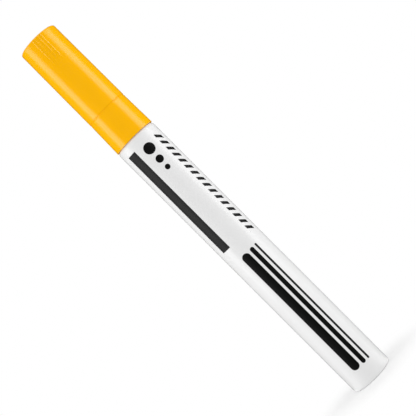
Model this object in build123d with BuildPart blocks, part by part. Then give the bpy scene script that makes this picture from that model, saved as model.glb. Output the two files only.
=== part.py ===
from build123d import *

import os
from math import acos, atan, cos, degrees, pi, radians, sin, sqrt, tan

# A capped paint marker with a spring valve behind its nib. It stands on its flat base, with the origin at
# the base's centre and +Z along its axis to the cap's closed end. All sizes are in millimetres.

# Clearances
pressed_gap = 0.04  # radial, between pieces pushed together for good
sliding_gap = 0.08  # radial, between pieces that slide on each other
contact_gap = 0.05  # along the axis, between faces that meet and part again

# Barrel: a white lacquered aluminium can with a rounded shoulder and a straight neck
barrel_diameter = 14.0
body_length = 99.3  # base to the cap's rim
barrel_wall = 0.5
base_thickness = 0.8
base_corner_radius = 0.4
inner_corner_radius = 0.4
shoulder_radius = 1.5
shoulder_start = 1.2  # where the shoulder starts to bend, below the cap's rim
neck_root_radius = 0.5
neck_diameter = 11.6
neck_length = 8.7  # above the cap's rim

# Mouthpiece: the plug in the neck that holds the nib and the valve
plug_socket_depth = 5.8  # how far the valve cage stands in the plug
plug_lead_in = 0.5
flange_thickness = 1.2
flange_chamfer = 0.3
shank_diameter = 8.6
shank_length = 8.3
shank_root_radius = 0.4
nose_length = 7.5
nose_diameter = 6.6
nose_edge_radius = 0.4
nose_ring_length = 2.0  # the short stretch that holds the nib close
nib_channel_width = 0.4  # room round the nib between its guide ribs
guide_rib_count = 6
guide_rib_width = 0.6
guide_rib_length = 9.0
vent_count = 3
vent_width = 0.7
passage_diameter = 3.6
web_thickness = 1.2

# Ring that seals the plug in the neck
seal_section = 0.8
seal_depth = 1.6  # centre of the ring below the neck's end

# Nib: a pressed fibre rod with a bullet point
nib_diameter = 4.5
nib_length = 22.9
nib_exposed = 6.5
nib_flank_radius = 5.0
nib_flank_turn = 38.0  # degrees
nib_rear_chamfer = 0.3
nib_travel = 2.0
nib_rear_room = 0.4  # left behind the nib when it is pushed right in

# Valve: seat, plunger, spring and the cage that holds them
seat_thickness = 1.2
seat_hole_diameter = 3.0
cage_diameter = 7.5
cage_wall = 0.6
cage_floor = 1.2
cage_flange_thickness = 1.0
cage_window_width = 2.4
cage_window_margin = 0.7  # solid rings left above and below each window
cage_drain_count = 4
cage_drain_diameter = 0.8
plunger_head_diameter = 5.0
plunger_head_thickness = 1.2
plunger_lip_diameter = 4.2
plunger_lip_width = 0.4
plunger_lip_height = 0.3
plunger_pin_diameter = 1.8
plunger_tail_diameter = 2.0
plunger_tail_reach = 0.7  # how far the tail stands in the cage's floor
plunger_end_chamfer = 0.25
spring_length = 12.5
spring_wire = 0.45
spring_mean_diameter = 3.8
spring_turns = 7

# Steel ball that stirs the paint
ball_diameter = 6.35

# Cap: a moulded shell, widening to a rim that is flush with the barrel
cap_end_thickness = 1.5
cap_end_diameter = 13.28
cap_end_radius = 0.55
cap_line_height = 11.75  # the line round the cap, above its rim
cap_line_diameter = 13.56  # just above the line
cap_line_step = 0.03  # how far the skirt starts inside the part above it
cap_line_depth = 0.13  # how far the line is cut into the skirt
cap_line_width = 0.55  # over which the cut runs out down the skirt
cap_rim_land = 0.5
cap_rim_bevel = 0.8
cap_stop_ledge = 0.35  # how far the cap's inner step reaches in over the mouthpiece's flange
gate_diameter = 2.4  # shallow dish at the moulding point
gate_depth = 0.2

# Fine ribs at the cap's closed end, in one group on each of two sides
cap_rib_groups = 2
cap_rib_count = 4
cap_rib_spacing = 8.44  # degrees
cap_rib_turn = 2.8  # degrees, from the front (-Y) to the group's middle, towards +X
cap_rib_width = 0.33
cap_rib_height = 0.12
cap_rib_length = 9.8  # from the closed end
cap_rib_run_out = 2.0  # over which a rib tapers off at its lower end

# Inner cap: the soft cup in the cap that closes on the mouthpiece
liner_wall = 0.55
liner_end_thickness = 0.7
liner_band_length = 3.0
liner_band_height = 0.3
liner_lip_length = 1.5
liner_start = 1.3  # above the mouthpiece's flange
nib_room = 6.3  # free space above the nib's point

# Radii and heights that follow from those sizes
barrel_radius = barrel_diameter / 2
neck_radius = neck_diameter / 2
neck_bore_radius = neck_radius - barrel_wall
plug_radius = neck_bore_radius - pressed_gap
shank_radius = shank_diameter / 2
nose_radius = nose_diameter / 2
nib_radius = nib_diameter / 2
nib_bore_radius = nib_radius + sliding_gap
cage_radius = cage_diameter / 2
cage_bore_radius = cage_radius - cage_wall

rim_height = body_length
neck_top = rim_height + neck_length
flange_top = neck_top + flange_thickness
shank_top = flange_top + shank_length
nose_top = shank_top + nose_length
nib_tip = nose_top + nib_exposed
nib_rear = nib_tip - nib_length
liner_inner_top = nib_tip + nib_room
cap_inner_top = liner_inner_top + liner_end_thickness
cap_top = cap_inner_top + cap_end_thickness

web_top = nib_rear - nib_travel - nib_rear_room
seat_top = web_top - web_thickness
seat_bottom = seat_top - seat_thickness
plug_bottom = seat_bottom - plug_socket_depth
head_top = seat_bottom - contact_gap
head_bottom = head_top - plunger_lip_height - plunger_head_thickness
spring_top = head_bottom - contact_gap
floor_top = spring_top - spring_length
cage_bottom = floor_top - cage_floor
cage_flange_bottom = plug_bottom - cage_flange_thickness


def can_outline(radius, neck, bottom, top, corner, bend, root):
    """Half outline of a can: base corner, wall, shoulder of two tangent arcs and neck, closed on the axis."""
    drop = radius - neck
    turn = acos(max(0.0, 1.0 - drop / (bend + root)))
    ledge = max(0.0, drop - bend - root)
    with BuildLine() as outline:
        Line((0, bottom), (radius - corner, bottom))
        wall_foot = JernArc((radius - corner, bottom), (1, 0), corner, 90) @ 1
        wall = Line(wall_foot, (radius, rim_height - shoulder_start))
        bend_arc = JernArc(wall @ 1, (0, 1), bend, degrees(turn))
        root_start = bend_arc @ 1
        if ledge > 0:
            root_start = Line(root_start, (neck + root, root_start.Y)) @ 1
        root_arc = JernArc(root_start, (-sin(turn), cos(turn)), root, -degrees(turn))
        Line(root_arc @ 1, (neck, top))
        Polyline((neck, top), (0, top), (0, bottom))
    return outline.line


# Barrel
with BuildPart() as barrel:
    with BuildSketch(Plane.XZ):
        with BuildLine():
            add(can_outline(barrel_radius, neck_radius, 0, neck_top, base_corner_radius,
                            shoulder_radius, neck_root_radius))
        make_face()
    revolve(axis=Axis.Z)
    with BuildSketch(Plane.XZ):
        with BuildLine():
            add(can_outline(barrel_radius - barrel_wall, neck_bore_radius, base_thickness, neck_top,
                            inner_corner_radius, shoulder_radius - barrel_wall,
                            neck_root_radius + barrel_wall))
        make_face()
    revolve(axis=Axis.Z, mode=Mode.SUBTRACT)

# Mouthpiece
seal_height = neck_top - seal_depth
groove_radius = neck_bore_radius - seal_section - 2 * pressed_gap
groove_low = seal_height - seal_section / 2 - pressed_gap
groove_high = seal_height + seal_section / 2 + pressed_gap
channel_radius = nib_bore_radius + nib_channel_width
channel_top = nose_top - nose_ring_length
with BuildPart() as mouthpiece:
    with BuildSketch(Plane.XZ):
        with BuildLine():
            Polyline(
                (0, plug_bottom),
                (plug_radius - plug_lead_in, plug_bottom),
                (plug_radius, plug_bottom + plug_lead_in),
                (plug_radius, groove_low),
                (groove_radius, groove_low),
                (groove_radius, groove_high),
                (plug_radius, groove_high),
                (plug_radius, neck_top),
                (neck_radius, neck_top),
                (neck_radius, flange_top - flange_chamfer),
                (neck_radius - flange_chamfer, flange_top),
            )
            FilletPolyline(
                (neck_radius - flange_chamfer, flange_top),
                (shank_radius, flange_top),
                (shank_radius, shank_top),
                (nose_radius, nose_top),
                (0, nose_top),
                radius=(shank_root_radius, nose_length / 2, nose_edge_radius),
            )
            Line((0, nose_top), (0, plug_bottom))
        make_face()
    revolve(axis=Axis.Z)
    with BuildSketch(Plane.XY.offset(plug_bottom)):
        Circle(cage_radius + pressed_gap)
    extrude(amount=seat_top - plug_bottom, mode=Mode.SUBTRACT)
    with BuildSketch(Plane.XY.offset(seat_top)):
        Circle(passage_diameter / 2)
    extrude(amount=web_thickness, mode=Mode.SUBTRACT)
    with BuildSketch(Plane.XY.offset(web_top)):
        Circle(channel_radius)
    extrude(amount=channel_top - web_top, mode=Mode.SUBTRACT)
    with BuildSketch(Plane.XY.offset(channel_top)):
        Circle(nib_bore_radius)
        with PolarLocations(nib_bore_radius, vent_count, start_angle=90):
            Rectangle(2 * nib_channel_width, vent_width)
    extrude(amount=nose_ring_length, mode=Mode.SUBTRACT)
    # Ribs that guide the nib along the channel and leave room for air and paint between them
    with BuildSketch(Plane.XY.offset(channel_top - guide_rib_length)):
        with PolarLocations(nib_bore_radius + nib_channel_width, guide_rib_count):
            Rectangle(2 * nib_channel_width, guide_rib_width)
    extrude(amount=guide_rib_length)

# Ring in the plug's groove
with BuildPart() as neck_seal:
    with BuildSketch(Plane.XZ):
        with Locations((neck_bore_radius - pressed_gap - seal_section / 2, seal_height)):
            Circle(seal_section / 2)
    revolve(axis=Axis.Z)

# Nib, with a bullet point of two tangent arcs
flank_turn = radians(nib_flank_turn)
point_rim = nib_radius - nib_flank_radius * (1 - cos(flank_turn))
point_radius = point_rim / cos(flank_turn)
point_rim_height = nib_tip - point_radius * (1 - sin(flank_turn))
nib_shoulder = point_rim_height - nib_flank_radius * sin(flank_turn)
with BuildPart() as nib:
    with BuildSketch(Plane.XZ):
        with BuildLine():
            Polyline(
                (0, nib_tip),
                (0, nib_rear),
                (nib_radius - nib_rear_chamfer, nib_rear),
                (nib_radius, nib_rear + nib_rear_chamfer),
                (nib_radius, nib_shoulder),
            )
            flank = JernArc((nib_radius, nib_shoulder), (0, 1), nib_flank_radius, nib_flank_turn)
            TangentArc(flank @ 1, (0, nib_tip), tangent=flank % 1)
        make_face()
    revolve(axis=Axis.Z)

# Valve seat: a soft ring clamped between the mouthpiece's web and the cage
with BuildPart() as valve_seat:
    with BuildSketch(Plane.XY.offset(seat_bottom)):
        Circle(cage_radius)
        Circle(seat_hole_diameter / 2, mode=Mode.SUBTRACT)
    extrude(amount=seat_thickness)

# Valve cage: a tube in the plug, a flange against the plug's end and an open basket below it
window_low = floor_top + cage_window_margin
window_high = cage_flange_bottom - cage_window_margin
with BuildPart() as valve_cage:
    with BuildSketch(Plane.XZ):
        with BuildLine():
            Polyline(
                (0, cage_bottom),
                (cage_radius - cage_wall, cage_bottom),
                (cage_radius, cage_bottom + cage_wall),
                (cage_radius, cage_flange_bottom),
                (plug_radius, cage_flange_bottom),
                (plug_radius, plug_bottom),
                (cage_radius, plug_bottom),
                (cage_radius, seat_bottom),
                (cage_bore_radius, seat_bottom),
                (cage_bore_radius, floor_top),
                (0, floor_top),
                close=True,
            )
        make_face()
    revolve(axis=Axis.Z)
    for side in (Plane.XZ, Plane.YZ):
        with BuildSketch(side):
            with Locations((0, (window_low + window_high) / 2)):
                SlotCenterToCenter(
                    window_high - window_low - cage_window_width, cage_window_width, rotation=90
                )
        extrude(amount=2 * cage_radius, both=True, mode=Mode.SUBTRACT)
    with BuildSketch(Plane.XY.offset(cage_bottom)):
        Circle(plunger_tail_diameter / 2 + sliding_gap)
        with PolarLocations((plunger_tail_diameter / 2 + cage_bore_radius) / 2, cage_drain_count, start_angle=45):
            Circle(cage_drain_diameter / 2)
    extrude(amount=cage_floor, mode=Mode.SUBTRACT)

# Valve plunger: pin, head with a sealing lip, and tail
pin_radius = plunger_pin_diameter / 2
tail_radius = plunger_tail_diameter / 2
head_radius = plunger_head_diameter / 2
lip_outer = plunger_lip_diameter / 2
lip_inner = lip_outer - plunger_lip_width
tail_end = floor_top - plunger_tail_reach
with BuildPart() as valve_plunger:
    with BuildSketch(Plane.XZ):
        with BuildLine():
            Polyline(
                (0, nib_rear - contact_gap),
                (pin_radius - plunger_end_chamfer, nib_rear - contact_gap),
                (pin_radius, nib_rear - contact_gap - plunger_end_chamfer),
                (pin_radius, head_top - plunger_lip_height),
                (lip_inner, head_top - plunger_lip_height),
                (lip_inner, head_top),
                (lip_outer, head_top),
                (lip_outer, head_top - plunger_lip_height),
                (head_radius, head_top - plunger_lip_height),
                (head_radius, head_bottom),
                (tail_radius, head_bottom),
                (tail_radius, tail_end + plunger_end_chamfer),
                (tail_radius - plunger_end_chamfer, tail_end),
                (0, tail_end),
                close=True,
            )
        make_face()
    revolve(axis=Axis.Z)

# Valve spring: one wire wound on a helix, ground flat at both ends
coil_radius = spring_mean_diameter / 2
spring_pitch = spring_length / spring_turns
quarter_count = 4 * spring_turns


def coil_point(quarter):
    """Point on the wire's centre line after so many quarter turns."""
    angle = quarter * pi / 2
    return Vector(coil_radius * cos(angle), coil_radius * sin(angle), floor_top + spring_pitch * quarter / 4)


def coil_direction(quarter):
    """Direction of the wire after so many quarter turns."""
    angle = quarter * pi / 2
    rise = spring_pitch / (2 * pi)
    return Vector(-coil_radius * sin(angle), coil_radius * cos(angle), rise).normalized()


def least_gap(samples_per_quarter=8):
    """Smallest free space between one turn of the wire and another."""
    steps = [k / samples_per_quarter for k in range(quarter_count * samples_per_quarter + 1)]
    points = [coil_point(step) for step in steps]
    half_turn = 2 * samples_per_quarter
    spans = [
        (points[k] - points[j]).length for k in range(len(points)) for j in range(k + half_turn, len(points))
    ]
    return min(spans) - spring_wire


with BuildPart() as valve_spring:
    with BuildLine() as wire_path:
        for quarter in range(quarter_count):
            start, end = coil_point(quarter), coil_point(quarter + 1)
            leave, arrive = coil_direction(quarter), coil_direction(quarter + 1)
            # Two arcs that share a tangent: the reach along each end's tangent solves a quadratic
            chord = end - start
            along = chord.dot(leave + arrive)
            bend = 2 - 2 * leave.dot(arrive)
            reach = (sqrt(along**2 + bend * chord.dot(chord)) - along) / bend
            middle = (start + leave * reach + end - arrive * reach) * 0.5
            first = TangentArc(start, middle, tangent=leave)
            TangentArc(middle, end, tangent=first % 1)
    with BuildSketch(Plane(origin=coil_point(0), z_dir=coil_direction(0))):
        Circle(spring_wire / 2)
    sweep(path=wire_path.wire())
    split(bisect_by=Plane.XY.offset(floor_top), keep=Keep.TOP)
    split(bisect_by=Plane.XY.offset(spring_top), keep=Keep.BOTTOM)
print("least gap between the spring's turns:", round(least_gap(), 3), "mm")

# Mixing ball, resting on the barrel's base
with BuildPart() as mixing_ball:
    with Locations((0, 0, base_thickness + contact_gap + ball_diameter / 2)):
        Sphere(ball_diameter / 2)

# Cap
line_height = rim_height + cap_line_height
line_radius = cap_line_diameter / 2
end_radius = cap_end_diameter / 2
skirt_bore_radius = neck_radius + sliding_gap
liner_bore_radius = neck_radius - cap_stop_ledge
stop_height = flange_top + contact_gap
cap_slope = atan((line_radius - end_radius) / (cap_top - line_height))
# A rib is the part of a slim needle, laid along the wall, that stands out of it
needle_radius = (cap_rib_width**2 / 4 + cap_rib_height**2) / (2 * cap_rib_height)
needle_length = (cap_rib_length - cap_end_radius) / cos(cap_slope)
needle_tip_radius = end_radius + cap_rib_length * tan(cap_slope) - needle_radius + cap_rib_height
needle_tip_height = cap_top - cap_rib_length
with BuildPart() as cap:
    with BuildSketch(Plane.XZ):
        with BuildLine():
            FilletPolyline(
                (0, cap_top),
                (end_radius, cap_top),
                (line_radius, line_height),
                radius=cap_end_radius,
            )
            Polyline(
                (line_radius, line_height),
                (line_radius - cap_line_step - cap_line_depth, line_height),
                (line_radius - cap_line_step, line_height - cap_line_width),
                (barrel_radius, rim_height),
                (barrel_radius - cap_rim_land, rim_height),
                (skirt_bore_radius, rim_height + cap_rim_bevel),
                (skirt_bore_radius, stop_height),
                (liner_bore_radius, stop_height),
                (liner_bore_radius, cap_inner_top),
                (0, cap_inner_top),
                (0, cap_top),
            )
        make_face()
    revolve(axis=Axis.Z)
    with BuildSketch(Plane.XY.offset(cap_top)):
        Circle(gate_diameter / 2)
    extrude(amount=-gate_depth, mode=Mode.SUBTRACT)
    # Ribs with a pointed lower end and a round upper end, just under the rounded corner
    for group in range(cap_rib_groups):
        for rib in range(cap_rib_count):
            offset_turn = (rib - (cap_rib_count - 1) / 2) * cap_rib_spacing
            turn = radians(cap_rib_turn - 90 + group * 360 / cap_rib_groups + offset_turn)
            outward = Vector(cos(turn), sin(turn), 0)
            upward = Vector(0, 0, cos(cap_slope)) - outward * sin(cap_slope)
            needle_tip = outward * needle_tip_radius + Vector(0, 0, needle_tip_height)
            with BuildSketch(Plane(origin=needle_tip, x_dir=upward, z_dir=(-sin(turn), cos(turn), 0))):
                with BuildLine():
                    side = Polyline(
                        (0, 0),
                        (cap_rib_run_out, needle_radius),
                        (needle_length - needle_radius, needle_radius),
                    )
                    JernArc(side @ 1, (1, 0), needle_radius, -90)
                    Line((needle_length, 0), (0, 0))
                make_face()
            revolve(axis=Axis(needle_tip, upward))

# Inner cap
liner_radius = liner_bore_radius - pressed_gap
liner_body_radius = liner_radius - liner_band_height
liner_bore = liner_body_radius - liner_wall
liner_bottom = flange_top + liner_start
with BuildPart() as inner_cap:
    with BuildSketch(Plane.XZ):
        with BuildLine():
            Polyline(
                (shank_radius + sliding_gap, liner_bottom),
                (liner_radius, liner_bottom),
                (liner_radius, liner_bottom + liner_band_length),
                (liner_body_radius, liner_bottom + liner_band_length + liner_band_height),
                (liner_body_radius, cap_inner_top),
                (0, cap_inner_top),
                (0, liner_inner_top),
                (liner_bore, liner_inner_top),
                (liner_bore, liner_bottom + liner_lip_length + liner_wall),
                (shank_radius + sliding_gap, liner_bottom + liner_lip_length),
                close=True,
            )
        make_face()
    revolve(axis=Axis.Z)

pieces = {
    "barrel": barrel,
    "mouthpiece": mouthpiece,
    "neck_seal": neck_seal,
    "nib": nib,
    "valve_seat": valve_seat,
    "valve_cage": valve_cage,
    "valve_plunger": valve_plunger,
    "valve_spring": valve_spring,
    "mixing_ball": mixing_ball,
    "cap": cap,
    "inner_cap": inner_cap,
}
os.makedirs("parts", exist_ok=True)
for name, piece in pieces.items():
    piece.part.label = name
    export_step(piece.part, f"parts/{name}.step")
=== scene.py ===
from math import acos, atan2, ceil, cos, pi, radians, sin, tan

import bmesh
import bpy
from bpy.props import FloatProperty, FloatVectorProperty, IntProperty, PointerProperty
from mathutils import Matrix, Vector


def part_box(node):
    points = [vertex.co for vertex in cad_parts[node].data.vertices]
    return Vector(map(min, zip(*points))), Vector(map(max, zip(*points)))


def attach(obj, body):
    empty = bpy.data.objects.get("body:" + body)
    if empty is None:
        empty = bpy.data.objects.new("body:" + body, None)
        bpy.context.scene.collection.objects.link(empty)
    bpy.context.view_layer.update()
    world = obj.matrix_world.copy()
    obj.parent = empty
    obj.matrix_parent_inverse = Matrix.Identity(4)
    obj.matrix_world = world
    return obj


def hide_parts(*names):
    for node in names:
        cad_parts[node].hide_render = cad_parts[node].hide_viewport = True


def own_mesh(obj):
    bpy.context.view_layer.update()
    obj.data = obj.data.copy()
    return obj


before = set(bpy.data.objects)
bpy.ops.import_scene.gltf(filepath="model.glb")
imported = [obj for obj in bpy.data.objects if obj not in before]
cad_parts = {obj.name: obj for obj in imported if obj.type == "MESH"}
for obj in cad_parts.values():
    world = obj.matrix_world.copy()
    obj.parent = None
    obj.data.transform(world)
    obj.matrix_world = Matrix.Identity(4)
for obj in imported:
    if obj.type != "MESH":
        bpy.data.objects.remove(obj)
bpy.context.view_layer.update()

bl_info = {
    "name": "Paint marker",
    "version": (1, 0, 0),
    "blender": (4, 5, 0),
    "location": "View3D > Sidebar > Marker",
    "description": "Models a capped paint marker over its construction frame, in a plain studio",
    "category": "Add Mesh",
}

MM = 0.001  # metres in a millimetre

# A piece is drawn with the millimetre as its unit and brought to size at the end, because the mesh
# tools round to about a micron of whatever unit they work in
DRAWING_SCALE = 1.0 / MM
MERGE_DISTANCE = 0.0005  # drawn millimetres

# Fineness of the meshes
FLATS = 128  # round a turned piece
CAP_FLATS = 384  # round the cap, so that a fine rib is a few flats wide
WIRE_FLATS = 24  # round the spring's wire
COIL_FLATS = 64  # along one turn of the spring
ARC_STEP = radians(9)  # turn of an outline that one facet of a rounded corner spans
LEAST_FACETS = 2  # of a rounded corner
NEARLY_FULL = 0.995  # of a radius, so that two rounded corners side by side don't quite meet
SMOOTH_ANGLE = radians(32)  # sharper edges than this stay crisp

# A rib is raised along two lines of points on each side of its middle, each line given by its
# distance in flats and its share of the rib's height
RIB_LINES = ((0.5, 1.0), (1.5, 0.5))
RIB_LINE_REACH = 0.25  # flats from a line within which a point belongs to it
RIB_FADE = 0.3 * MM  # below a rib's foot, where the wall is plain again

# Places that the frame gives, in metres
barrel_low, barrel_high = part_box("barrel")
cap_low, cap_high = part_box("cap")
inner_cap_low, inner_cap_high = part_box("inner_cap")
_, mouthpiece_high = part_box("mouthpiece")
nib_low, nib_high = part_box("nib")
spring_low, spring_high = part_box("valve_spring")
ball_low, ball_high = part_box("mixing_ball")


def linear(hex_value):
    """Linear red, green and blue of an sRGB hex value."""
    channels = [int(hex_value[k:k + 2], 16) / 255 for k in (1, 3, 5)]
    return tuple(c / 12.92 if c <= 0.04045 else ((c + 0.055) / 1.055) ** 2.4 for c in channels)


def length(name, description, millimetres):
    """A size in the sidebar."""
    return FloatProperty(
        name=name,
        description=description,
        default=millimetres * MM,
        min=0.0,
        precision=5,
        unit="LENGTH",
    )


def turn(name, description, degrees):
    """An angle in the sidebar."""
    return FloatProperty(
        name=name, description=description, default=radians(degrees), unit="ROTATION"
    )


def count(name, description, number):
    """A whole number in the sidebar."""
    return IntProperty(name=name, description=description, default=number, min=1)


def brightness(name, description, radiance):
    """A brightness in the sidebar."""
    return FloatProperty(name=name, description=description, default=radiance, min=0.0)


def colour(name, description, hex_value):
    """A colour in the sidebar."""
    return FloatVectorProperty(
        name=name,
        description=description,
        default=linear(hex_value),
        min=0.0,
        max=1.0,
        size=3,
        subtype="COLOR",
    )


class BarrelProperties(bpy.types.PropertyGroup):
    """The white can."""

    wall: length("Wall", "Thickness of the can's wall", 0.5)
    base_thickness: length("Base", "Thickness of the can's base", 0.8)
    base_corner: length("Base corner", "Radius round the foot of the can", 0.4)
    inner_corner: length("Inner corner", "Radius where the wall meets the base inside", 0.4)
    shoulder_start: length("Shoulder start", "Where the bend starts, below the cap's rim", 1.2)
    shoulder_radius: length("Shoulder", "Radius of the shoulder under the cap's rim", 1.5)
    neck_root: length("Neck root", "Radius where the shoulder runs into the neck", 0.5)
    neck_edge: length("Neck edge", "Radius at the neck's open end", 0.2)
    lacquer: colour("Lacquer", "Colour of the barrel", "#E5E5E5")


class PrintProperties(bpy.types.PropertyGroup):
    """The plain marks printed on the barrel."""

    bar_turn: turn("Bar turn", "Middle of the plain bar, from the front towards +X", -37.9)
    bar_low: length("Bar foot", "Lower end of the bar above the base", 56.7)
    bar_high: length("Bar head", "Upper end of the bar above the base", 96.0)
    bar_width: length("Bar width", "Width of the bar round the barrel", 3.3)
    hatch_turn: turn("Hatch turn", "Middle of the hatched row, from the front towards +X", 50.7)
    hatch_low: length("Hatch foot", "Lower end of the hatched row above the base", 55.6)
    hatch_high: length("Hatch head", "Upper end of the hatched row above the base", 95.6)
    hatch_width: length("Hatch width", "Width of the hatched row round the barrel", 2.6)
    hatch_pitch: length("Hatch pitch", "From one hatch mark to the next", 2.5)
    hatch_mark: length("Hatch mark", "Thickness of a hatch mark along the barrel", 1.2)
    stroke_turn: turn("Stroke turn", "Middle of the strokes, from the front towards +X", 1.9)
    stroke_low: length("Stroke foot", "Lower end of the sample strokes above the base", 5.5)
    stroke_high: length("Stroke head", "Upper end of the sample strokes above the base", 52.5)
    stroke_width: length("Stroke width", "Width of the broadest sample stroke", 2.8)
    stroke_gap: length("Stroke gap", "Bare lacquer between sample strokes", 0.8)
    stroke_count: count("Strokes", "Sample strokes, each half as broad as the last", 3)
    dot_turn: turn("Dot turn", "Middle of the sample dots, from the front towards +X", 7.5)
    dot_high: length("Dot head", "Middle of the largest dot above the base", 93.6)
    dot_size: length("Dot size", "Diameter of the largest dot", 3.6)
    dot_gap: length("Dot gap", "Bare lacquer between dots", 1.2)
    dot_count: count("Dots", "Sample dots, each smaller than the last", 3)
    ink: colour("Ink", "Colour of the strokes, dots and hatch", "#070707")
    bar_ink: colour("Bar ink", "Colour of the plain bar", "#101010")


class CapProperties(bpy.types.PropertyGroup):
    """The yellow cap."""

    end_diameter: length("End diameter", "Diameter of the closed end", 13.28)
    end_corner: length("End corner", "Radius round the closed end", 0.55)
    end_thickness: length("End thickness", "Thickness of the closed end", 1.5)
    line_height: length("Line height", "The line round the cap, above its rim", 11.75)
    line_diameter: length("Line diameter", "Diameter just above the line", 13.56)
    line_step: length("Line step", "How far the skirt starts inside the part above it", 0.03)
    line_depth: length("Line depth", "Depth of the line", 0.13)
    line_width: length("Line width", "Width of the line", 0.55)
    rim_land: length("Rim land", "Flat width of the rim", 0.5)
    rim_bevel: length("Rim bevel", "Height of the bevel inside the rim", 0.8)
    skirt_gap: length("Skirt gap", "Free space between the skirt and the barrel's neck", 0.08)
    stop_gap: length("Stop gap", "Free space between the inner step and the flange", 0.05)
    stop_ledge: length("Stop ledge", "How far the inner step reaches in over the flange", 0.35)
    flange_height: length("Flange", "Top of the mouthpiece's flange above the neck", 1.2)
    gate_diameter: length("Gate diameter", "Diameter of the dish at the moulding point", 2.4)
    gate_depth: length("Gate depth", "Depth of the dish at the moulding point", 0.2)
    edge: length("Edge", "Radius on the moulded edges", 0.06)
    rib_length: length("Rib length", "How far the ribs run down from the closed end", 9.8)
    rib_height: length("Rib height", "How far the ribs stand proud", 0.12)
    rib_run_out: length("Rib run-out", "Over which a rib sinks into the wall at its foot", 2.0)
    rib_turn: turn("Rib turn", "Middle of a group of ribs, from the front towards +X", 2.8)
    rib_spacing: turn("Rib spacing", "From one rib to the next", 8.4375)
    rib_count: count("Ribs", "Ribs in each group", 4)
    rib_groups: count("Rib groups", "Groups of ribs round the cap", 2)
    plastic: colour("Plastic", "Colour of the cap", "#FAB501")


class TipProperties(bpy.types.PropertyGroup):
    """The nib, its mouthpiece and valve, and the soft cup that closes on them."""

    flank_radius: length("Nib flank", "Radius of the nib's flank", 5.0)
    flank_turn: turn("Nib flank turn", "How far the flank bends in before the point", 38.0)
    rear_chamfer: length("Nib chamfer", "Bevel on the nib's rear end", 0.3)
    cup_wall: length("Cup wall", "Wall of the soft cup in the cap", 0.55)
    cup_end: length("Cup end", "Thickness of the cup's closed end", 0.7)
    cup_band: length("Cup band", "Height of the band that holds the cup in the cap", 3.0)
    cup_band_step: length("Cup band step", "How far the band stands proud", 0.3)
    cup_lip: length("Cup lip", "Height of the lip that closes on the mouthpiece", 1.5)
    cup_lip_radius: length("Cup lip radius", "Inner radius of that lip", 4.38)
    cup_edge: length("Cup edge", "Radius on the cup's edges, twice that in its corners", 0.12)
    spring_wire: length("Spring wire", "Thickness of the valve spring's wire", 0.45)
    spring_turns: count("Spring turns", "Turns of the valve spring", 7)
    fibre: colour("Fibre", "Colour of the nib", "#EFE9D8")
    mouthpiece: colour("Mouthpiece", "Colour of the mouthpiece", "#E1E0DB")
    cup: colour("Cup", "Colour of the soft cup", "#E2DFD4")
    cage: colour("Cage", "Colour of the valve's cage", "#DEDCD2")
    plunger: colour("Plunger", "Colour of the valve's plunger", "#E6E6E4")


class StageProperties(bpy.types.PropertyGroup):
    """The studio round the marker."""

    strip_turn: turn("Strip turn", "Angle of each soft box from the camera's side", 73.5)
    strip_radiance: brightness("Strip light", "Brightness of the soft boxes", 1.75)
    fill_turn: turn("Fill turn", "Angle of each fill lamp from the camera's side", 94.0)
    fill_radiance: brightness("Fill light", "Brightness of the fill lamps", 1.25)
    room_light: brightness("Room light", "Brightness of the room", 0.88)
    floor: colour("Floor", "Colour of the floor", "#F8F8F8")
    card: colour("Card", "Colour of the dark cards", "#272727")


def deselect():
    """Clears the selection, so that the next operator acts on the new piece alone."""
    if bpy.context.object and bpy.context.object.mode != "OBJECT":
        bpy.ops.object.mode_set(mode="OBJECT")
    bpy.ops.object.select_all(action="DESELECT")


def select_points(piece, test):
    """Selects the points of a piece whose places pass a test, in edit mode."""
    bpy.ops.mesh.select_mode(type="VERT")
    bpy.ops.mesh.select_all(action="DESELECT")
    mesh = bmesh.from_edit_mesh(piece.data)
    chosen = [point for point in mesh.verts if test(point.co)]
    if not chosen:
        raise RuntimeError(f"no point of {piece.name} passes the test")
    for point in chosen:
        point.select_set(True)
    mesh.select_flush_mode()
    bmesh.update_edit_mesh(piece.data)


def drawn_line(name, places):
    """A new object, in edit mode, with one point extruded from place to place."""
    deselect()
    bpy.ops.mesh.primitive_plane_add()
    piece = bpy.context.object
    piece.name = name
    piece.data.name = name
    bpy.ops.object.mode_set(mode="EDIT")
    bpy.ops.mesh.select_mode(type="VERT")
    bpy.ops.mesh.select_all(action="SELECT")
    bpy.ops.mesh.merge(type="CENTER")
    bpy.ops.transform.translate(value=places[0])
    for here, there in zip(places, places[1:]):
        bpy.ops.mesh.extrude_region_move(TRANSFORM_OT_translate={"value": there - here})
    return piece


def close_seams():
    """Merges points in the same place and turns all faces outwards, in edit mode."""
    bpy.ops.mesh.select_all(action="SELECT")
    bpy.ops.mesh.remove_doubles(threshold=MERGE_DISTANCE)
    bpy.ops.mesh.normals_make_consistent(inside=False)


def turned_piece(name, corners, flats=FLATS):
    """Draws half a section from axis to axis, rounds its corners and spins it.

    A corner is its radius, its height and the radius that rounds it, in metres. The first and the
    last are on the axis and stay sharp. The piece stays in edit mode.
    """
    places = [Vector((radius, 0.0, height)) * DRAWING_SCALE for radius, height, _ in corners]
    piece = drawn_line(name, places)
    neighbours = zip(places, places[1:], places[2:])
    for (before, here, after), (_, _, rounding) in zip(neighbours, corners[1:]):
        if rounding > 0:
            bend = (here - before).angle(after - here)
            select_points(piece, lambda spot: (spot - here).length < MERGE_DISTANCE)
            bpy.ops.mesh.bevel(
                affect="VERTICES",
                offset=rounding * DRAWING_SCALE * tan(bend / 2),
                segments=max(LEAST_FACETS, ceil(bend / ARC_STEP)),
                profile=0.5,  # a round one
            )
    bpy.ops.mesh.select_all(action="SELECT")
    bpy.ops.mesh.spin(steps=flats, angle=2 * pi, center=(0, 0, 0), axis=(0, 0, 1))
    close_seams()
    return piece


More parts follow.
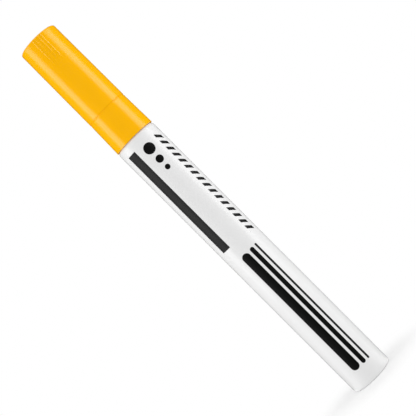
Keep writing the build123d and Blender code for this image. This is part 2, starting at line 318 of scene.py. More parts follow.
def finish_piece(piece, body, slot, material, *nodes):
    """Brings a drawn piece to size, smooths it, dresses it and ties it to the frame."""
    bpy.ops.object.mode_set(mode="OBJECT")
    piece.scale = (MM, MM, MM)
    bpy.ops.object.transform_apply(location=True, rotation=True, scale=True)
    bpy.ops.object.shade_smooth_by_angle(angle=SMOOTH_ANGLE)
    piece.data.materials.append(material)
    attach(piece, body)
    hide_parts(*nodes)


def new_material(name):
    """An empty node material and its node tree."""
    material = bpy.data.materials.new(name)
    material.use_nodes = True
    material.node_tree.nodes.clear()
    return material, material.node_tree


def add_node(tree, kind, inputs=None, **settings):
    """Adds a node with its settings, and sets each input to a value or links it to an output."""
    node = tree.nodes.new(kind)
    for key, value in settings.items():
        setattr(node, key, value)
    for socket, value in (inputs or {}).items():
        if isinstance(value, bpy.types.NodeSocket):
            tree.links.new(value, node.inputs[socket])
        else:
            node.inputs[socket].default_value = value
    return node


def shade(rgb, factor=1.0):
    """A colour made darker or lighter by a factor, with full alpha, as nodes take it."""
    return (*(min(1.0, channel * factor) for channel in rgb), 1.0)


def seen_directly(tree):
    """1 for the camera, a reflection or clear glass, and 0 for the light that a surface gives."""
    path = add_node(tree, "ShaderNodeLightPath").outputs
    camera_or_gloss = add_node(
        tree,
        "ShaderNodeMath",
        {0: path["Is Camera Ray"], 1: path["Is Glossy Ray"]},
        operation="MAXIMUM",
    ).outputs[0]
    return add_node(
        tree,
        "ShaderNodeMath",
        {0: camera_or_gloss, 1: path["Is Transmission Ray"]},
        operation="MAXIMUM",
    ).outputs[0]


# The ink and the shapes of the printed marks
INK_DULLNESS = 0.36  # added to the lacquer's roughness
INK_RELIEF = 2.0  # height of the ink over that of the lacquer's orange peel
INK_EDGE = 0.03 * MM  # half the width over which an ink edge fades
MARK_CORNER = 0.1 * MM  # radius at the corners of the bar and of the hatched row
ROUND_END = 0.49  # corner radius of a stroke or dot over its width, just short of a half circle
DOT_RATIO = 0.68  # size of a dot over that of the one before
HATCH_SLOPE = 0.6  # how far a hatch mark falls along the barrel, over its width


def printed_lacquer(barrel, marks):
    """White lacquer on drawn aluminium, roller-coated and screen-printed.

    It gives a clean, satin white with a hardly visible orange peel, and flat, slightly duller ink.
    """
    material, tree = new_material("white_lacquer_screen_printed")
    coords = add_node(tree, "ShaderNodeTexCoord").outputs["Object"]
    axes = add_node(tree, "ShaderNodeSeparateXYZ", {0: coords}).outputs
    front = add_node(
        tree, "ShaderNodeMath", {0: axes["Y"], 1: -1.0}, operation="MULTIPLY"
    ).outputs[0]
    around = add_node(
        tree, "ShaderNodeMath", {0: axes["X"], 1: front}, operation="ARCTAN2"
    ).outputs[0]
    arc = add_node(
        tree, "ShaderNodeMath", {0: around, 1: barrel_high.x}, operation="MULTIPLY"
    ).outputs[0]
    place = add_node(tree, "ShaderNodeCombineXYZ", {"X": arc, "Y": axes["Z"]}).outputs[0]

    def rounded_mark(centre, size, corner):
        """Mask of a rectangle with rounded corners, unrolled on the barrel."""
        core = (size[0] / 2 - corner, size[1] / 2 - corner, 0)
        kind = "ShaderNodeVectorMath"
        offset = add_node(tree, kind, {0: place, 1: (*centre, 0)}, operation="SUBTRACT").outputs[0]
        mirrored = add_node(tree, kind, {0: offset}, operation="ABSOLUTE").outputs[0]
        outside = add_node(tree, kind, {0: mirrored, 1: core}, operation="SUBTRACT").outputs[0]
        clear = add_node(tree, kind, {0: outside, 1: (0, 0, 0)}, operation="MAXIMUM").outputs[0]
        distance = add_node(tree, kind, {0: clear}, operation="LENGTH").outputs["Value"]
        return add_node(tree, "ShaderNodeMapRange", {
            "Value": distance,
            "From Min": corner + INK_EDGE,
            "From Max": corner - INK_EDGE,
        }).outputs[0]

    # A plain bar
    bar_centre = (marks.bar_turn * barrel_high.x, (marks.bar_low + marks.bar_high) / 2)
    bar_size = (marks.bar_width, marks.bar_high - marks.bar_low)
    bar = rounded_mark(bar_centre, bar_size, MARK_CORNER)

    # Sample strokes, each half as broad as the one before
    black_marks = []
    widths = [marks.stroke_width / 2**k for k in range(marks.stroke_count)]
    span = sum(widths) + marks.stroke_gap * (marks.stroke_count - 1)
    side = marks.stroke_turn * barrel_high.x - span / 2
    middle = (marks.stroke_low + marks.stroke_high) / 2
    for width in widths:
        stroke_size = (width, marks.stroke_high - marks.stroke_low)
        black_marks.append(rounded_mark((side + width / 2, middle), stroke_size, width * ROUND_END))
        side += width + marks.stroke_gap

    # Sample dots, from large to small
    height = marks.dot_high
    dot = marks.dot_size
    for _ in range(marks.dot_count):
        dot_centre = (marks.dot_turn * barrel_high.x, height)
        black_marks.append(rounded_mark(dot_centre, (dot, dot), dot * ROUND_END))
        height -= dot / 2 + marks.dot_gap + dot * DOT_RATIO / 2
        dot *= DOT_RATIO

    # A row of slanted marks
    row_centre = (marks.hatch_turn * barrel_high.x, (marks.hatch_low + marks.hatch_high) / 2)
    row_size = (marks.hatch_width, marks.hatch_high - marks.hatch_low)
    row = rounded_mark(row_centre, row_size, MARK_CORNER)
    slant = add_node(
        tree, "ShaderNodeMath", {0: arc, 1: HATCH_SLOPE, 2: axes["Z"]}, operation="MULTIPLY_ADD"
    ).outputs[0]
    phase = add_node(
        tree, "ShaderNodeMath", {0: slant, 1: marks.hatch_pitch}, operation="FLOORED_MODULO"
    ).outputs[0]
    hatch = add_node(tree, "ShaderNodeMapRange", {
        "Value": phase,
        "From Min": marks.hatch_mark + INK_EDGE,
        "From Max": marks.hatch_mark - INK_EDGE,
    }).outputs[0]
    hatched = add_node(tree, "ShaderNodeMath", {0: row, 1: hatch}, operation="MULTIPLY").outputs[0]
    black_marks.append(hatched)

    # All black marks together, and then with the bar
    black = black_marks[0]
    for mark in black_marks[1:]:
        black = add_node(
            tree, "ShaderNodeMath", {0: black, 1: mark}, operation="MAXIMUM"
        ).outputs[0]
    inked = add_node(tree, "ShaderNodeMath", {0: black, 1: bar}, operation="MAXIMUM").outputs[0]

    # The lacquer is a shade darker and shinier in clouds a few millimetres across
    cloud = add_node(
        tree, "ShaderNodeTexNoise", {"Vector": coords, "Scale": 1 / (6 * MM), "Detail": 3.0}
    ).outputs[0]
    tones = add_node(tree, "ShaderNodeValToRGB", {"Fac": cloud})
    tones.color_ramp.elements[0].color = shade(barrel.lacquer, 0.975)
    tones.color_ramp.elements[1].color = shade(barrel.lacquer, 1.01)
    with_bar = add_node(tree, "ShaderNodeMix", {
        "Factor": bar,
        "A": tones.outputs["Color"],
        "B": shade(marks.bar_ink),
    }, data_type="RGBA").outputs["Result"]
    with_ink = add_node(tree, "ShaderNodeMix", {
        "Factor": black,
        "A": with_bar,
        "B": shade(marks.ink),
    }, data_type="RGBA").outputs["Result"]
    gloss = add_node(
        tree, "ShaderNodeMapRange", {"Value": cloud, "To Min": 0.13, "To Max": 0.17}
    ).outputs[0]
    dull = add_node(
        tree, "ShaderNodeMath", {0: inked, 1: INK_DULLNESS, 2: gloss}, operation="MULTIPLY_ADD"
    ).outputs[0]

    # Orange peel of roller-coated lacquer, about 0.5 mm from crest to crest, with the ink on top
    peel = add_node(
        tree, "ShaderNodeTexNoise", {"Vector": coords, "Scale": 1 / (0.5 * MM), "Detail": 1.0}
    ).outputs[0]
    relief = add_node(
        tree, "ShaderNodeMath", {0: inked, 1: INK_RELIEF, 2: peel}, operation="MULTIPLY_ADD"
    ).outputs[0]
    bump = add_node(
        tree, "ShaderNodeBump", {"Height": relief, "Strength": 0.6, "Distance": 0.004 * MM}
    ).outputs[0]
    shader = add_node(tree, "ShaderNodeBsdfPrincipled", {
        "Base Color": with_ink,
        "Roughness": dull,
        "Normal": bump,
        "IOR": 1.5,
        "Specular IOR Level": 0.34,
    })
    add_node(tree, "ShaderNodeOutputMaterial", {"Surface": shader.outputs["BSDF"]})
    return material


def moulded_yellow(cap):
    """Polypropylene, injection-moulded in a satin tool.

    It gives a saturated colour with soft highlights, a fine grain and slightly shinier clouds.
    """
    material, tree = new_material("polypropylene_moulded_yellow")
    coords = add_node(tree, "ShaderNodeTexCoord").outputs["Object"]
    cloud = add_node(
        tree, "ShaderNodeTexNoise", {"Vector": coords, "Scale": 1 / (5 * MM), "Detail": 4.0}
    ).outputs[0]
    tones = add_node(tree, "ShaderNodeValToRGB", {"Fac": cloud})
    tones.color_ramp.elements[0].color = shade(cap.plastic, 0.97)
    tones.color_ramp.elements[1].color = shade(cap.plastic, 1.02)
    gloss = add_node(
        tree, "ShaderNodeMapRange", {"Value": cloud, "To Min": 0.1, "To Max": 0.14}
    ).outputs[0]
    # The tool's grain is about 0.1 mm; it is drawn at 0.3 mm so that it shows
    grain = add_node(
        tree, "ShaderNodeTexNoise", {"Vector": coords, "Scale": 1 / (0.3 * MM), "Detail": 2.0}
    ).outputs[0]
    bump = add_node(
        tree, "ShaderNodeBump", {"Height": grain, "Strength": 0.5, "Distance": 0.0008 * MM}
    ).outputs[0]
    shader = add_node(tree, "ShaderNodeBsdfPrincipled", {
        "Base Color": tones.outputs["Color"],
        "Roughness": gloss,
        "Normal": bump,
        "IOR": 1.49,
        "Specular IOR Level": 0.42,
    })
    add_node(tree, "ShaderNodeOutputMaterial", {"Surface": shader.outputs["BSDF"]})
    return material


def moulded_plastic(name, rgb, roughness, grain_size, subsurface=0.0):
    """Plain moulded plastic, such as polypropylene, polyethylene or acetal.

    It gives a satin skin with a fine, even grain, a little see-through where subsurface is given.
    """
    material, tree = new_material(name)
    coords = add_node(tree, "ShaderNodeTexCoord").outputs["Object"]
    cloud = add_node(
        tree, "ShaderNodeTexNoise", {"Vector": coords, "Scale": 1 / (4 * MM), "Detail": 3.0}
    ).outputs[0]
    tones = add_node(tree, "ShaderNodeValToRGB", {"Fac": cloud})
    tones.color_ramp.elements[0].color = shade(rgb, 0.96)
    tones.color_ramp.elements[1].color = shade(rgb, 1.02)
    uneven = 0.04  # how far the clouds move the roughness up and down
    gloss = add_node(tree, "ShaderNodeMapRange", {
        "Value": cloud,
        "To Min": roughness - uneven,
        "To Max": roughness + uneven,
    }).outputs[0]
    grain = add_node(
        tree, "ShaderNodeTexNoise", {"Vector": coords, "Scale": 1 / grain_size, "Detail": 2.0}
    ).outputs[0]
    bump = add_node(
        tree, "ShaderNodeBump", {"Height": grain, "Strength": 0.5, "Distance": 0.005 * MM}
    ).outputs[0]
    shader = add_node(tree, "ShaderNodeBsdfPrincipled", {
        "Base Color": tones.outputs["Color"],
        "Roughness": gloss,
        "Normal": bump,
        "IOR": 1.5,
        "Subsurface Weight": subsurface,
        "Subsurface Scale": 0.5 * MM,
    })
    add_node(tree, "ShaderNodeOutputMaterial", {"Surface": shader.outputs["BSDF"]})
    return material


def pressed_fibre(tip):
    """Polyester fibre, bundled, bonded and ground to a bullet point.

    It gives a matt, off-white rod with fine threads along it and a fuzzy sheen.
    """
    material, tree = new_material("polyester_fibre_ground")
    coords = add_node(tree, "ShaderNodeTexCoord").outputs["Object"]
    # Threads are about 0.03 mm thick; they are drawn at 0.12 mm so that they show, along the nib
    across, along = 0.12 * MM, 3 * MM
    stretch = add_node(
        tree, "ShaderNodeMapping", {"Vector": coords, "Scale": (1 / across, 1 / across, 1 / along)}
    ).outputs[0]
    threads = add_node(
        tree, "ShaderNodeTexNoise", {"Vector": stretch, "Scale": 1.0, "Detail": 2.0}
    ).outputs[0]
    tones = add_node(tree, "ShaderNodeValToRGB", {"Fac": threads})
    tones.color_ramp.elements[0].position = 0.3
    tones.color_ramp.elements[1].position = 0.7
    tones.color_ramp.elements[0].color = shade(tip.fibre, 0.8)
    tones.color_ramp.elements[1].color = shade(tip.fibre, 1.04)
    bump = add_node(
        tree, "ShaderNodeBump", {"Height": threads, "Strength": 0.7, "Distance": 0.03 * MM}
    ).outputs[0]
    shader = add_node(tree, "ShaderNodeBsdfPrincipled", {
        "Base Color": tones.outputs["Color"],
        "Roughness": 0.9,
        "Normal": bump,
        "IOR": 1.45,
        "Specular IOR Level": 0.2,
        "Sheen Weight": 0.25,
        "Sheen Roughness": 0.5,
    })
    add_node(tree, "ShaderNodeOutputMaterial", {"Surface": shader.outputs["BSDF"]})
    return material


def moulded_rubber():
    """Nitrile rubber, moulded: a soft black skin with a dull bloom."""
    material, tree = new_material("nitrile_rubber_moulded")
    coords = add_node(tree, "ShaderNodeTexCoord").outputs["Object"]
    bloom = add_node(
        tree, "ShaderNodeTexNoise", {"Vector": coords, "Scale": 1 / (0.8 * MM), "Detail": 4.0}
    ).outputs[0]
    tones = add_node(tree, "ShaderNodeValToRGB", {"Fac": bloom})
    tones.color_ramp.elements[0].color = shade(linear("#151515"))
    tones.color_ramp.elements[1].color = shade(linear("#2A2A29"))
    bump = add_node(
        tree, "ShaderNodeBump", {"Height": bloom, "Strength": 0.4, "Distance": 0.01 * MM}
    ).outputs[0]
    shader = add_node(tree, "ShaderNodeBsdfPrincipled", {
        "Base Color": tones.outputs["Color"],
        "Roughness": 0.7,
        "Normal": bump,
        "IOR": 1.52,
    })
    add_node(tree, "ShaderNodeOutputMaterial", {"Surface": shader.outputs["BSDF"]})
    return material


def drawn_steel():
    """Stainless spring wire, drawn: bright, with fine lines along the turn."""
    material, tree = new_material("stainless_wire_drawn")
    coords = add_node(tree, "ShaderNodeTexCoord").outputs["Object"]
    # Die lines are finer than 0.01 mm; they are drawn at 0.05 mm so that they show
    along, across = 2 * MM, 0.05 * MM
    lines = add_node(
        tree, "ShaderNodeMapping", {"Vector": coords, "Scale": (1 / along, 1 / along, 1 / across)}
    ).outputs[0]
    streaks = add_node(
        tree, "ShaderNodeTexNoise", {"Vector": lines, "Scale": 1.0, "Detail": 2.0}
    ).outputs[0]
    tones = add_node(tree, "ShaderNodeValToRGB", {"Fac": streaks})
    tones.color_ramp.elements[0].color = shade(linear("#B4B4B2"))
    tones.color_ramp.elements[1].color = shade(linear("#D8D8D6"))
    gloss = add_node(
        tree, "ShaderNodeMapRange", {"Value": streaks, "To Min": 0.2, "To Max": 0.35}
    ).outputs[0]
    shader = add_node(tree, "ShaderNodeBsdfPrincipled", {
        "Base Color": tones.outputs["Color"],
        "Roughness": gloss,
        "Metallic": 1.0,
    })
    add_node(tree, "ShaderNodeOutputMaterial", {"Surface": shader.outputs["BSDF"]})
    return material


def ground_steel():
    """Bearing steel, ground and polished: a mirror with hazy scuffs from rolling in pigment."""
    material, tree = new_material("bearing_steel_polished")
    coords = add_node(tree, "ShaderNodeTexCoord").outputs["Object"]
    haze = add_node(
        tree, "ShaderNodeTexNoise", {"Vector": coords, "Scale": 1 / (1.5 * MM), "Detail": 5.0}
    ).outputs[0]
    tones = add_node(tree, "ShaderNodeValToRGB", {"Fac": haze})
    tones.color_ramp.elements[0].color = shade(linear("#BDBEC0"))
    tones.color_ramp.elements[1].color = shade(linear("#DADBDD"))
    gloss = add_node(
        tree, "ShaderNodeMapRange", {"Value": haze, "To Min": 0.06, "To Max": 0.2}
    ).outputs[0]
    shader = add_node(tree, "ShaderNodeBsdfPrincipled", {
        "Base Color": tones.outputs["Color"],
        "Roughness": gloss,
        "Metallic": 1.0,
    })
    add_node(tree, "ShaderNodeOutputMaterial", {"Surface": shader.outputs["BSDF"]})
    return material


class MARKER_OT_barrel(bpy.types.Operator):
    """Turn the can with its rounded foot, shoulder and neck, and print its marks"""

    bl_idname = "marker.barrel"
    bl_label = "Barrel"

    def execute(self, context):
        can = context.scene.marker_barrel
        radius = barrel_high.x
        neck = mouthpiece_high.x
        inner = radius - can.wall
        bore = neck - can.wall
        base, top = barrel_low.z, barrel_high.z
        floor = base + can.base_thickness
        bend, root = can.shoulder_radius, can.neck_root
        outside = self.shoulder(can, radius, neck, bend, root)
        inside = self.shoulder(can, inner, bore, bend - can.wall, root + can.wall)
        piece = turned_piece("barrel_can", [
            (0.0, base, 0.0),
            (radius, base, can.base_corner),
            *outside,
            (neck, top, can.neck_edge),
            (bore, top, can.neck_edge),
            *reversed(inside),
            (inner, floor, can.inner_corner),
            (0.0, floor, 0.0),
        ])
        finish = printed_lacquer(can, context.scene.marker_print)
        finish_piece(piece, "barrel", "white_lacquer", finish, "barrel")
        return {"FINISHED"}

    def shoulder(self, can, outer, inner, bend, root):
        """The two corners of a shoulder whose arcs meet in one slanting line."""
        slope = acos(1 - (outer - inner) / (bend + root))
        start = cap_low.z - can.shoulder_start
        end = start + (bend + root) * sin(slope)
        return (
            (outer, start + bend * tan(slope / 2), bend),
            (inner, end - root * tan(slope / 2), root),
        )


class MARKER_OT_cap(bpy.types.Operator):
    """Turn the cap with its line, rim and closed end, and raise its fine ribs"""

    bl_idname = "marker.cap"
    bl_label = "Cap"

    def execute(self, context):
        cap = context.scene.marker_cap
        rim, top = cap_low.z, cap_high.z
        end = cap.end_diameter / 2
        above = cap.line_diameter / 2
        line = rim + cap.line_height
        slope = (above - end) / (top - line)
        rib_rows = (cap.rib_length - cap.rib_run_out, cap.rib_length, cap.rib_length + RIB_FADE)
        skirt_bore = mouthpiece_high.x + cap.skirt_gap
        cup_bore = mouthpiece_high.x - cap.stop_ledge
        stop = barrel_high.z + cap.flange_height + cap.stop_gap
        inside = top - cap.end_thickness
        gate = cap.gate_diameter / 2
        piece = turned_piece("cap_shell", [
            (0.0, top - cap.gate_depth, 0.0),
            (gate, top - cap.gate_depth, cap.edge),
            (gate, top, cap.edge),
            (end, top, cap.end_corner),
            *((end + slope * drop, top - drop, 0.0) for drop in rib_rows),
            (above, line, cap.edge / 2),
            (above - cap.line_step - cap.line_depth, line, 0.0),
            (above - cap.line_step, line - cap.line_width, cap.edge),
            (cap_high.x, rim, cap.edge),
            (cap_high.x - cap.rim_land, rim, cap.edge),
            (skirt_bore, rim + cap.rim_bevel, cap.edge),
            (skirt_bore, stop, 0.0),
            (cup_bore, stop, cap.edge),
            (cup_bore, inside, cap.edge),
            (0.0, inside, 0.0),
        ], flats=CAP_FLATS)
        half_way = radians(45)  # round the corner of the closed end, where the ribs stop
        head = top - cap.end_corner * (1 - cos(half_way))
        self.raise_ribs(piece, cap, top - cap.rib_length, head)
        finish_piece(piece, "cap", "yellow_plastic", moulded_yellow(cap), "cap")
        return {"FINISHED"}

    def raise_ribs(self, piece, cap, foot, head):
        """Lifts the lines of points along each rib to a low ridge that runs out at its foot."""
        first = cap.rib_turn - (cap.rib_count - 1) / 2 * cap.rib_spacing
        middles = [
            first + group * 2 * pi / cap.rib_groups + rib * cap.rib_spacing
            for group in range(cap.rib_groups)
            for rib in range(cap.rib_count)
        ]
        low, high = foot * DRAWING_SCALE + MERGE_DISTANCE, head * DRAWING_SCALE
        wall = (cap.end_diameter / 2 - cap.end_corner) * DRAWING_SCALE

        def flats_away(spot):
            """Distance of a point from the nearest rib's middle, in flats."""
            around = atan2(spot.x, -spot.y)
            turns = [abs((around - middle + pi) % (2 * pi) - pi) for middle in middles]
            return min(turns) * CAP_FLATS / (2 * pi)

        for line, share in RIB_LINES:
            select_points(piece, lambda spot: (
                low < spot.z < high
                and spot.xy.length > wall
                and abs(flats_away(spot) - line) < RIB_LINE_REACH
            ))
            lift = 1 + share * cap.rib_height / (cap.end_diameter / 2)
            bpy.ops.transform.resize(value=(lift, lift, 1), center_override=(0, 0, 0))


class MARKER_OT_inner_cap(bpy.types.Operator):
    """Turn the soft cup that closes on the mouthpiece"""

    bl_idname = "marker.inner_cap"
    bl_label = "Inner cap"

    def execute(self, context):
        tip = context.scene.marker_tip
        low, top, outer = inner_cap_low.z, inner_cap_high.z, inner_cap_high.x
        body = outer - tip.cup_band_step
        bore = body - tip.cup_wall
        edge = tip.cup_edge
        piece = turned_piece("inner_cap_cup", [
            (0.0, top - tip.cup_end, 0.0),
            (bore, top - tip.cup_end, 2 * edge),
            (bore, low + tip.cup_lip + tip.cup_wall, 2 * edge),
            (tip.cup_lip_radius, low + tip.cup_lip, edge),
            (tip.cup_lip_radius, low, edge),
            (outer, low, edge),
            (outer, low + tip.cup_band, edge),
            (body, low + tip.cup_band + tip.cup_band_step, edge),
            (body, top, 2 * edge),
            (0.0, top, 0.0),
        ])
        finish = moulded_plastic(
            "polyethylene_moulded_natural",
            tip.cup,
            roughness=0.45,
            grain_size=0.3 * MM,
            subsurface=0.2,
        )
        finish_piece(piece, "cap", "natural_plastic", finish, "inner_cap")
        return {"FINISHED"}


class MARKER_OT_nib(bpy.types.Operator):
    """Turn the fibre nib with its bullet point"""

    bl_idname = "marker.nib"
    bl_label = "Nib"

    def execute(self, context):
        tip = context.scene.marker_tip
        radius, low, top = nib_high.x, nib_low.z, nib_high.z
        flank = tip.flank_radius
        rim = radius - flank * (1 - cos(tip.flank_turn))
        point = rim / cos(tip.flank_turn)
        point_turn = pi / 2 - tip.flank_turn
        flank_end = top - point * (1 - sin(tip.flank_turn))
        flank_start = flank_end - flank * sin(tip.flank_turn)
        flank_corner = flank_start + flank * tan(tip.flank_turn / 2)
        piece = turned_piece("nib_bullet", [
            (0.0, low, 0.0),
            (radius - tip.rear_chamfer, low, 0.0),
            (radius, low + tip.rear_chamfer, 0.0),
            (radius, flank_corner, flank * NEARLY_FULL),
            (point * tan(point_turn / 2), top, point * NEARLY_FULL),
            (0.0, top, 0.0),
        ])
        finish_piece(piece, "nib", "nib_fibre", pressed_fibre(tip), "nib")
        return {"FINISHED"}


class MARKER_OT_spring(bpy.types.Operator):
    """Wind the valve spring and grind its ends flat"""

    bl_idname = "marker.spring"
    bl_label = "Valve spring"

    def execute(self, context):
        tip = context.scene.marker_tip
        low, top = spring_low.z * DRAWING_SCALE, spring_high.z * DRAWING_SCALE
        wire = tip.spring_wire / 2 * DRAWING_SCALE
        coil = spring_high.x * DRAWING_SCALE - wire
        pitch = (top - low) / tip.spring_turns
        deselect()
        bpy.ops.mesh.primitive_circle_add(
            vertices=WIRE_FLATS,
            radius=wire,
            location=(coil, 0, low),
            rotation=(pi / 2 + atan2(pitch, 2 * pi * coil), 0, 0),
        )
        piece = bpy.context.object
        piece.name = "valve_spring_coil"
        piece.data.name = piece.name
        bpy.ops.object.transform_apply(location=True, rotation=True, scale=True)
        bpy.ops.object.modifier_add(type="SCREW")
        winding = piece.modifiers[-1]
        winding.screw_offset = pitch
        winding.iterations = tip.spring_turns
        winding.steps = COIL_FLATS
        winding.render_steps = COIL_FLATS
        bpy.ops.object.modifier_apply(modifier=winding.name)
        bpy.ops.object.mode_set(mode="EDIT")
        bpy.ops.mesh.select_all(action="SELECT")
        bpy.ops.mesh.fill_holes(sides=0)
        for level, ground in ((low, {"clear_inner": True}), (top, {"clear_outer": True})):
            bpy.ops.mesh.select_all(action="SELECT")
            bpy.ops.mesh.bisect(plane_co=(0, 0, level), plane_no=(0, 0, 1), use_fill=True, **ground)
        close_seams()
        finish_piece(piece, "barrel", "spring_steel", drawn_steel(), "valve_spring")
        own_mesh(piece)
        return {"FINISHED"}


class MARKER_OT_ball(bpy.types.Operator):
    """Turn the mixing ball"""

    bl_idname = "marker.ball"
    bl_label = "Mixing ball"

    def execute(self, context):
        low, top = ball_low.z, ball_high.z
        radius = (top - low) / 2
        piece = turned_piece("mixing_ball_sphere", [
            (0.0, low, 0.0),
            (radius, low, radius),
            (radius, top, radius),
            (0.0, top, 0.0),
        ])
        finish_piece(piece, "mixing_ball", "ball_steel", ground_steel(), "mixing_ball")
        return {"FINISHED"}


class MARKER_OT_inside(bpy.types.Operator):
    """Dress the mouthpiece, the seals and the rest of the valve, which the frame already holds"""

    bl_idname = "marker.inside"
    bl_label = "Mouthpiece, seals and valve"

    def execute(self, context):
        tip = context.scene.marker_tip
        rubber = moulded_rubber()
        finishes = {
            "mouthpiece": moulded_plastic(
                "polypropylene_moulded_white",
                tip.mouthpiece,
                roughness=0.4,
                grain_size=0.35 * MM,
            ),
            "neck_seal": rubber,
            "valve_seat": rubber,
            "valve_cage": moulded_plastic(
                "polypropylene_moulded_natural",
                tip.cage,
                roughness=0.42,
                grain_size=0.3 * MM,
                subsurface=0.1,
            ),
            "valve_plunger": moulded_plastic(
                "acetal_moulded_white",
                tip.plunger,
                roughness=0.32,
                grain_size=0.25 * MM,
            ),
        }
        for node, finish in finishes.items():
            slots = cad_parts[node].data.materials
            slots.clear()
            slots.append(finish)
        return {"FINISHED"}


# The studio's sizes are in metres where nothing else is said. The camera faces the marker squarely,
# about level with its middle, and is rolled so that the cap points up and left
CAMERA_DISTANCE = 0.336
CAMERA_HEIGHT = 0.06934
CAMERA_SIDE = 0.00067
CAMERA_ROLL = radians(45)
CAMERA_LENS = 98.2  # millimetres
SENSOR_WIDTH = 36.0  # millimetres
NEAREST_SEEN = 0.01  # what is nearer to the camera is cut off

# Tall soft boxes stand to the left and right, and their reflections are the soft highlights along
# the marker
STRIP_DISTANCE = 0.42
STRIP_WIDTH = 0.2
STRIP_HEIGHT = 0.38

# Fill lamps stand at both sides, out of sight of the gloss, and brighten the marker's flanks
FILL_DISTANCE = 0.5
FILL_WIDTH = 0.3
FILL_HEIGHT = 0.6

# Curved dark cards close the room in front and behind, each with a foot on the floor that reaches
# in to the marker; only the gloss sees them, and they draw the marker's edges
CARD_RADIUS = 0.38
CARD_TOE = barrel_high.x + 0.1 * MM  # where the foot starts
CARD_LIFT = 0.1 * MM  # of the foot off the floor
CARD_HEIGHT = 0.52
FRONT_CARD = radians(52)  # half of what each card spans
BACK_CARD = radians(84)
CARD_FLATS = 24

# The floor shows the marker's shadow near it, and fades into the white room further out
FLOOR_RADIUS = 0.35
SHADOW_RADIUS = 0.01  # where the fade starts
FADE_RADIUS = 0.025  # where it ends


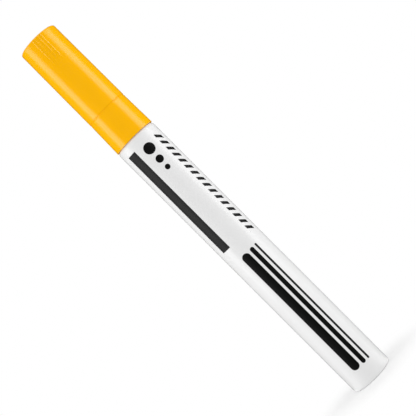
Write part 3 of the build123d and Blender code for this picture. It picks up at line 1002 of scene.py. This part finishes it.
class MARKER_OT_stage(bpy.types.Operator):
    """Set up the floor, the lights, the white room and the camera"""

    bl_idname = "marker.stage"
    bl_label = "Studio"

    def execute(self, context):
        stage = context.scene.marker_stage
        context.scene.view_settings.view_transform = "Standard"
        self.add_camera(context)
        self.add_room(context, stage)
        self.add_floor(stage)
        for side in (-1, 1):
            strip = self.add_lamp("strip", side * stage.strip_turn, STRIP_DISTANCE)
            self.set_light(strip.data, STRIP_WIDTH, STRIP_HEIGHT, stage.strip_radiance)
            fill = self.add_lamp("fill", side * stage.fill_turn, FILL_DISTANCE)
            self.set_light(fill.data, FILL_WIDTH, FILL_HEIGHT, stage.fill_radiance)
            fill.visible_glossy = False
        self.add_card(stage, -pi / 2, FRONT_CARD)
        self.add_card(stage, pi / 2, BACK_CARD)
        return {"FINISHED"}

    def add_camera(self, context):
        """Places the camera by its own right, up and back directions."""
        right = Vector((cos(CAMERA_ROLL), 0, -sin(CAMERA_ROLL)))
        up = Vector((sin(CAMERA_ROLL), 0, cos(CAMERA_ROLL)))
        back = right.cross(up)
        data = bpy.data.cameras.new("camera")
        data.lens = CAMERA_LENS
        data.sensor_width = SENSOR_WIDTH
        data.clip_start = NEAREST_SEEN
        camera = bpy.data.objects.new("camera", data)
        place = Matrix.Translation((CAMERA_SIDE, -CAMERA_DISTANCE, CAMERA_HEIGHT))
        camera.matrix_world = place @ Matrix((right, up, back)).transposed().to_4x4()
        context.collection.objects.link(camera)
        context.scene.camera = camera

    def add_room(self, context, stage):
        """A room that is white to look at and lights the marker at a plain level."""
        world = bpy.data.worlds.new("white_room")
        world.use_nodes = True
        tree = world.node_tree
        tree.nodes.clear()
        level = add_node(tree, "ShaderNodeMapRange", {
            "Value": seen_directly(tree),
            "To Min": stage.room_light,
            "To Max": 1.0,
        }).outputs[0]
        white = shade(linear("#FFFFFF"))
        light = add_node(tree, "ShaderNodeBackground", {"Color": white, "Strength": level})
        add_node(tree, "ShaderNodeOutputWorld", {"Surface": light.outputs[0]})
        context.scene.world = world

    def add_floor(self, stage):
        """A round floor whose plain pale paint fades into the white room away from the marker."""
        deselect()
        bpy.ops.mesh.primitive_circle_add(vertices=FLATS, radius=FLOOR_RADIUS, fill_type="NGON")
        floor = bpy.context.object
        floor.name = "floor"
        material, tree = new_material("floor_pale_paint")
        coords = add_node(tree, "ShaderNodeTexCoord").outputs["Object"]
        away = add_node(
            tree, "ShaderNodeVectorMath", {0: coords}, operation="LENGTH"
        ).outputs["Value"]
        far = add_node(tree, "ShaderNodeMapRange", {
            "Value": away,
            "From Min": SHADOW_RADIUS,
            "From Max": FADE_RADIUS,
        }, interpolation_type="SMOOTHSTEP").outputs[0]
        white = add_node(
            tree, "ShaderNodeMath", {0: far, 1: seen_directly(tree)}, operation="MULTIPLY"
        ).outputs[0]
        paint = add_node(tree, "ShaderNodeBsdfDiffuse", {"Color": shade(stage.floor)}).outputs[0]
        glow = add_node(tree, "ShaderNodeEmission", {"Strength": 1.0}).outputs[0]
        both = add_node(tree, "ShaderNodeMixShader", {0: white, 1: paint, 2: glow})
        add_node(tree, "ShaderNodeOutputMaterial", {"Surface": both.outputs[0]})
        floor.data.materials.append(material)

    def add_lamp(self, name, angle, distance):
        """A lamp that faces the marker's middle from a given side, unseen by the camera."""
        lamp = bpy.data.objects.new(name, bpy.data.lights.new(name, "AREA"))
        direction = Vector((sin(angle), -cos(angle), 0))
        lamp.location = direction * distance + Vector((0, 0, CAMERA_HEIGHT))
        lamp.rotation_euler = direction.to_track_quat("Z", "Y").to_euler()
        lamp.visible_camera = False
        bpy.context.collection.objects.link(lamp)
        return lamp

    def set_light(self, light, width, height, radiance):
        """Makes a light a soft rectangle, whose power is pi times its area and brightness."""
        light.shape = "RECTANGLE"
        light.size = width
        light.size_y = height
        light.energy = radiance * pi * width * height

    def add_card(self, stage, middle, half_span):
        """A dark card that only reflections see, spun from the outline of its foot and its wall."""
        start = middle + half_span  # the spin operator turns clockwise
        side = Vector((cos(start), sin(start), 0))
        corners = ((CARD_TOE, CARD_LIFT), (CARD_RADIUS, CARD_LIFT), (CARD_RADIUS, CARD_HEIGHT))
        places = [side * away + Vector((0, 0, height)) for away, height in corners]
        card = drawn_line("card", places)
        bpy.ops.mesh.select_all(action="SELECT")
        bpy.ops.mesh.spin(steps=CARD_FLATS, angle=2 * half_span, center=(0, 0, 0), axis=(0, 0, 1))
        bpy.ops.object.mode_set(mode="OBJECT")
        material, tree = new_material("card_black_felt")
        felt = add_node(tree, "ShaderNodeBsdfDiffuse", {"Color": shade(stage.card)})
        add_node(tree, "ShaderNodeOutputMaterial", {"Surface": felt.outputs[0]})
        card.data.materials.append(material)
        card.visible_camera = False
        card.visible_diffuse = False
        card.visible_transmission = False
        card.visible_shadow = False


class MARKER_PT_panel(bpy.types.Panel):
    """Sidebar page with the marker's pieces, sizes and colours"""

    bl_idname = "MARKER_PT_panel"
    bl_label = "Paint marker"
    bl_space_type = "VIEW_3D"
    bl_region_type = "UI"
    bl_category = "Marker"

    def draw(self, context):
        for operator in OPERATORS:
            self.layout.operator(operator.bl_idname)
        for name in GROUPS:
            group = getattr(context.scene, name)
            box = self.layout.box()
            for key in group.__annotations__:
                box.prop(group, key)


GROUPS = {
    "marker_barrel": BarrelProperties,
    "marker_print": PrintProperties,
    "marker_cap": CapProperties,
    "marker_tip": TipProperties,
    "marker_stage": StageProperties,
}
OPERATORS = (
    MARKER_OT_barrel,
    MARKER_OT_cap,
    MARKER_OT_inner_cap,
    MARKER_OT_nib,
    MARKER_OT_spring,
    MARKER_OT_ball,
    MARKER_OT_inside,
    MARKER_OT_stage,
)


def register():
    for group in GROUPS.values():
        bpy.utils.register_class(group)
    for name, group in GROUPS.items():
        setattr(bpy.types.Scene, name, PointerProperty(type=group))
    for operator in OPERATORS:
        bpy.utils.register_class(operator)
    bpy.utils.register_class(MARKER_PT_panel)


def unregister():
    bpy.utils.unregister_class(MARKER_PT_panel)
    for operator in reversed(OPERATORS):
        bpy.utils.unregister_class(operator)
    for name, group in reversed(GROUPS.items()):
        delattr(bpy.types.Scene, name)
        bpy.utils.unregister_class(group)


def main():
    register()
    bpy.ops.marker.barrel()
    bpy.ops.marker.cap()
    bpy.ops.marker.inner_cap()
    bpy.ops.marker.nib()
    bpy.ops.marker.spring()
    bpy.ops.marker.ball()
    bpy.ops.marker.inside()
    bpy.ops.marker.stage()


if __name__ == "__main__":
    main()
